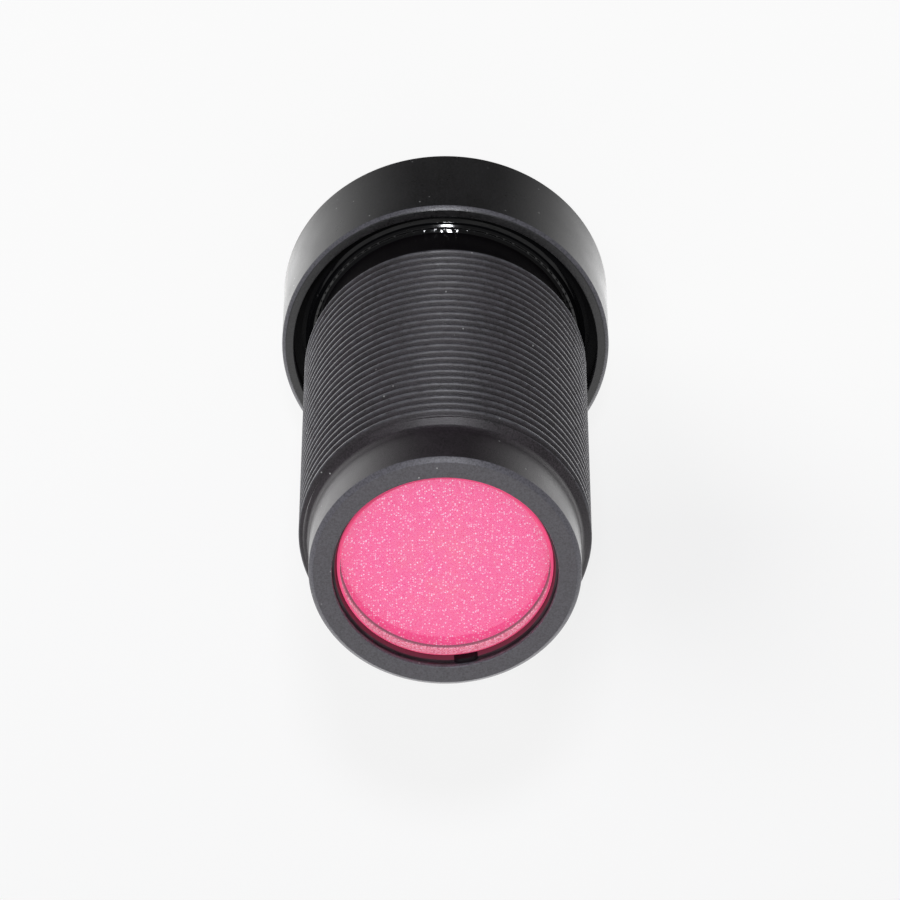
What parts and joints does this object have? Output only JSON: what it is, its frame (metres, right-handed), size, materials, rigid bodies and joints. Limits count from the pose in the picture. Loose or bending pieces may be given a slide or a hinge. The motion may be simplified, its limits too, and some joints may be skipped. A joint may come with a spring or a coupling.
{
  "type": "board camera lens",
  "caption": "Small black camera lens with a fine M12 outside thread, a wide round head and a pink infrared-cut filter glued into its rear end.",
  "frame": {"origin": "centre of the head's front face, on the optical axis", "axes": "+Z along the optical axis, from the front face up to the rear filter"},
  "size_m": [0.014, 0.014, 0.0218],
  "materials": {
    "anodised_barrel": "matte black anodised",
    "anodised_head": "satin black anodised",
    "anodised_ring": "matte black anodised",
    "black_sealant": "glossy black adhesive",
    "filter_glue": "dark adhesive",
    "mask_film": "matte black film",
    "optical_glass": "polished, coated",
    "filter_glass": "polished, pink reflecting coat"
  },
  "bodies": {
    "root": {"barrel": "anodised_barrel", "front_hood": "anodised_head", "hood_sealant": "black_sealant", "front_retaining_ring": "anodised_ring", "front_lens": "optical_glass", "front_light_mask": "mask_film", "front_spacer": "anodised_ring", "front_doublet_crown": "optical_glass", "front_doublet_flint": "optical_glass", "pre_stop_spacer": "anodised_ring", "aperture_stop": "anodised_ring", "post_stop_spacer": "anodised_ring", "rear_doublet_flint": "optical_glass", "rear_doublet_crown": "optical_glass", "rear_light_mask": "mask_film", "rear_spacer": "anodised_ring", "rear_lens": "optical_glass", "ir_filter": "filter_glass", "filter_adhesive": "filter_glue"}
  },
  "joints": []
}
